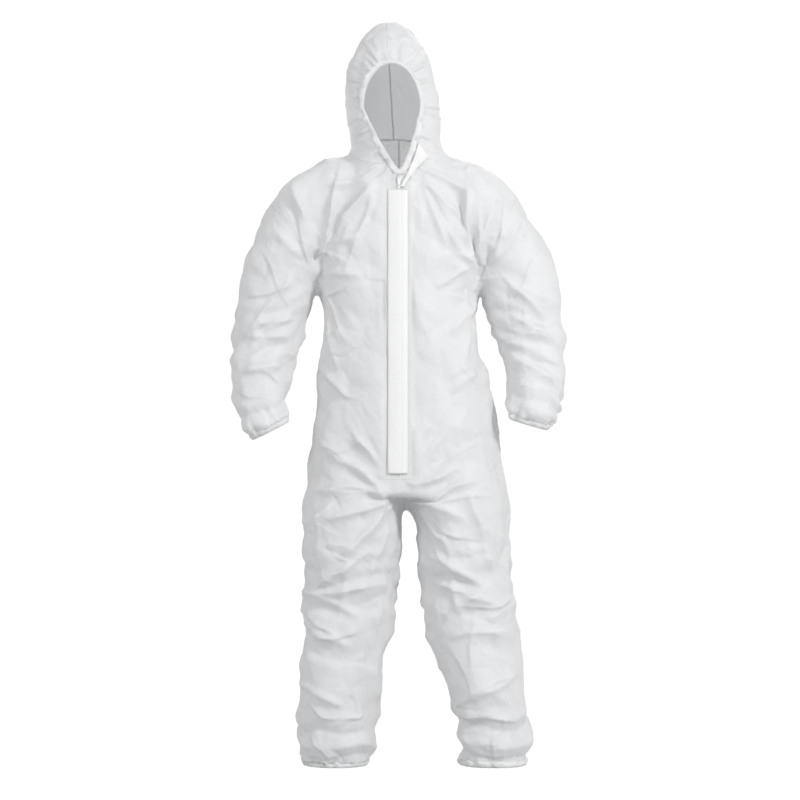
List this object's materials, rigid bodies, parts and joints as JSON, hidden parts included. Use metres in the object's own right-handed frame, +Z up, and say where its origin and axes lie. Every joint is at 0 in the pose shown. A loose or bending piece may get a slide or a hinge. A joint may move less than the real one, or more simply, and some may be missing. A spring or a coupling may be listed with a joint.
{
  "type": "chemical protective suit",
  "caption": "White disposable hooded coverall with a zipped front under a storm flap, a gathered face opening and elasticated wrists and ankles, in its worn shape.",
  "frame": {"origin": "on the floor plane under the ankle hems, under the middle of the suit's bounding box to within 6 mm", "axes": "+Z up, -Y the way the wearer faces, +X the wearer's left"},
  "size_m": [0.796, 0.2889, 1.8],
  "materials": {
    "cloth": "matt laminated nonwoven",
    "flap_cloth": "matt laminated nonwoven, doubled",
    "elastic": "covered elastic",
    "zip_tape": "woven tape",
    "zip_nylon": "nylon coil",
    "zip_slider_paint": "smooth"
  },
  "bodies": {
    "torso": {"left_front_panel": "cloth", "right_front_panel": "cloth", "left_back_panel": "cloth", "right_back_panel": "cloth", "back_waist_elastic": "elastic", "left_zip_tape": "zip_tape", "right_zip_tape": "zip_tape", "left_zip_coil": "zip_nylon", "right_zip_coil": "zip_nylon", "zip_top_stops": "zip_nylon", "zip_bottom_stop": "zip_nylon"},
    "hood": {"hood_left_panel": "cloth", "hood_right_panel": "cloth", "hood_face_hem": "cloth", "hood_face_elastic": "elastic", "chin_flap": "flap_cloth"},
    "storm_flap": {"storm_flap": "flap_cloth"},
    "zip_slider": {"zip_slider": "zip_slider_paint"},
    "zip_pull": {"zip_pull_tab": "zip_slider_paint"},
    "left_upper_sleeve": {"left_shoulder_cap": "cloth", "left_sleeve_upper": "cloth"},
    "left_lower_sleeve": {"left_sleeve_lower": "cloth", "left_cuff_hem": "cloth", "left_cuff_elastic": "elastic"},
    "left_upper_leg": {"left_leg_upper_front": "cloth", "left_leg_upper_back": "cloth"},
    "left_lower_leg": {"left_leg_lower_front": "cloth", "left_leg_lower_back": "cloth", "left_ankle_hem": "cloth", "left_ankle_elastic": "elastic"},
    "right_upper_sleeve": {"right_shoulder_cap": "cloth", "right_sleeve_upper": "cloth"},
    "right_lower_sleeve": {"right_sleeve_lower": "cloth", "right_cuff_hem": "cloth", "right_cuff_elastic": "elastic"},
    "right_upper_leg": {"right_leg_upper_front": "cloth", "right_leg_upper_back": "cloth"},
    "right_lower_leg": {"right_leg_lower_front": "cloth", "right_leg_lower_back": "cloth", "right_ankle_hem": "cloth", "right_ankle_elastic": "elastic"}
  },
  "joints": [
    {"name": "hood_fold", "type": "hinge", "parent": "torso", "child": "hood", "pos_m": [-0.006, 0.096, 1.5145], "axis": [-1, 0, 0], "range_deg": [0, 60]},
    {"name": "flap_open", "type": "hinge", "parent": "torso", "child": "storm_flap", "pos_m": [0.017, -0.1152, 1.4121], "axis": [0, 0.03, 0.9996], "range_deg": [0, 165]},
    {"name": "zip_slide", "type": "slide", "parent": "torso", "child": "zip_slider", "axis": [0, -0.03, -0.9996], "range_m": [0, 0.66]},
    {"name": "zip_pull_lift", "type": "hinge", "parent": "zip_slider", "child": "zip_pull", "pos_m": [0, -0.11494, 1.40729], "axis": [-1, 0, 0], "range_deg": [0, 150]},
    {"name": "left_shoulder_swing", "type": "hinge", "parent": "torso", "child": "left_upper_sleeve", "pos_m": [0.19, 0, 1.352], "axis": [-1, 0, 0], "range_deg": [0, 60]},
    {"name": "left_elbow_flex", "type": "hinge", "parent": "left_upper_sleeve", "child": "left_lower_sleeve", "pos_m": [0.314, 0, 1.025], "axis": [-1, 0, 0], "range_deg": [0, 80]},
    {"name": "left_hip_flex", "type": "hinge", "parent": "torso", "child": "left_upper_leg", "pos_m": [0.128, 0, 0.8], "axis": [-1, 0, 0], "range_deg": [-10, 60]},
    {"name": "left_knee_flex", "type": "hinge", "parent": "left_upper_leg", "child": "left_lower_leg", "pos_m": [0.173, -0.005, 0.42], "axis": [1, 0, 0], "range_deg": [0, 80]},
    {"name": "right_shoulder_swing", "type": "hinge", "parent": "torso", "child": "right_upper_sleeve", "pos_m": [-0.19, 0, 1.352], "axis": [-1, 0, 0], "range_deg": [0, 60]},
    {"name": "right_elbow_flex", "type": "hinge", "parent": "right_upper_sleeve", "child": "right_lower_sleeve", "pos_m": [-0.314, 0, 1.025], "axis": [-1, 0, 0], "range_deg": [0, 80]},
    {"name": "right_hip_flex", "type": "hinge", "parent": "torso", "child": "right_upper_leg", "pos_m": [-0.088, 0, 0.8], "axis": [-1, 0, 0], "range_deg": [-10, 60]},
    {"name": "right_knee_flex", "type": "hinge", "parent": "right_upper_leg", "child": "right_lower_leg", "pos_m": [-0.115, -0.005, 0.42], "axis": [1, 0, 0], "range_deg": [0, 80]}
  ]
}
